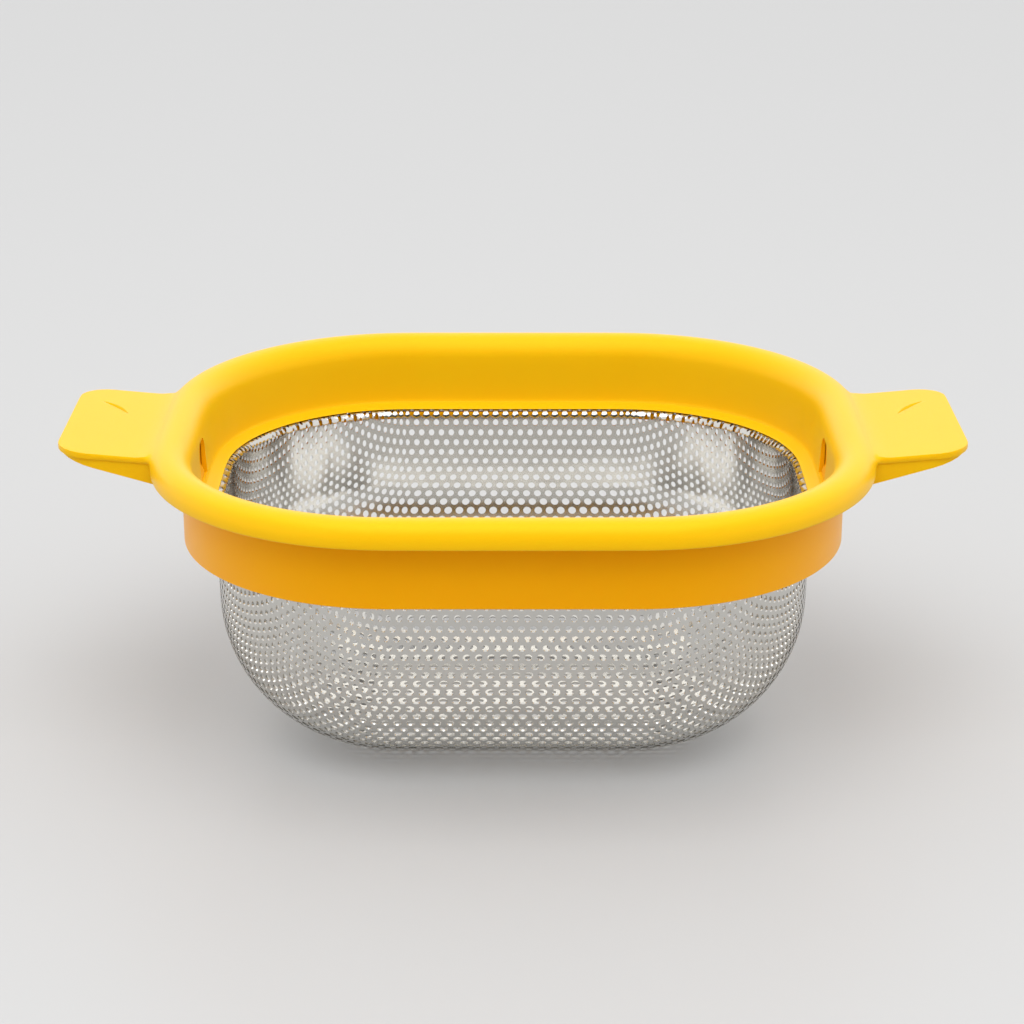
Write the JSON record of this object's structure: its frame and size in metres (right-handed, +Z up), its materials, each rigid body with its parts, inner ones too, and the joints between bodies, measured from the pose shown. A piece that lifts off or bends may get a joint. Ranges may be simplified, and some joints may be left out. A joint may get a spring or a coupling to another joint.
{
  "type": "strainer",
  "caption": "Rounded rectangular honey strainer: a drawn perforated steel basket clamped in a moulded collar with a rolled lip and ear handles.",
  "frame": {"origin": "middle of the underside of the basket's floor, which the strainer stands on", "axes": "+X along the length, from ear to ear; +Z up, out of the basket's mouth; +Y across the width"},
  "size_m": [0.2866, 0.1992, 0.1],
  "materials": {
    "collar_plastic": "injection-moulded polypropylene, warm yellow, satin gloss",
    "ring_plastic": "injection-moulded polypropylene, warm yellow, satin gloss",
    "basket_steel": "bright cold-rolled stainless sheet, perforated and deep drawn"
  },
  "bodies": {
    "root": {"collar_frame": "collar_plastic", "clamp_ring": "ring_plastic", "perforated_basket": "basket_steel"}
  },
  "joints": []
}
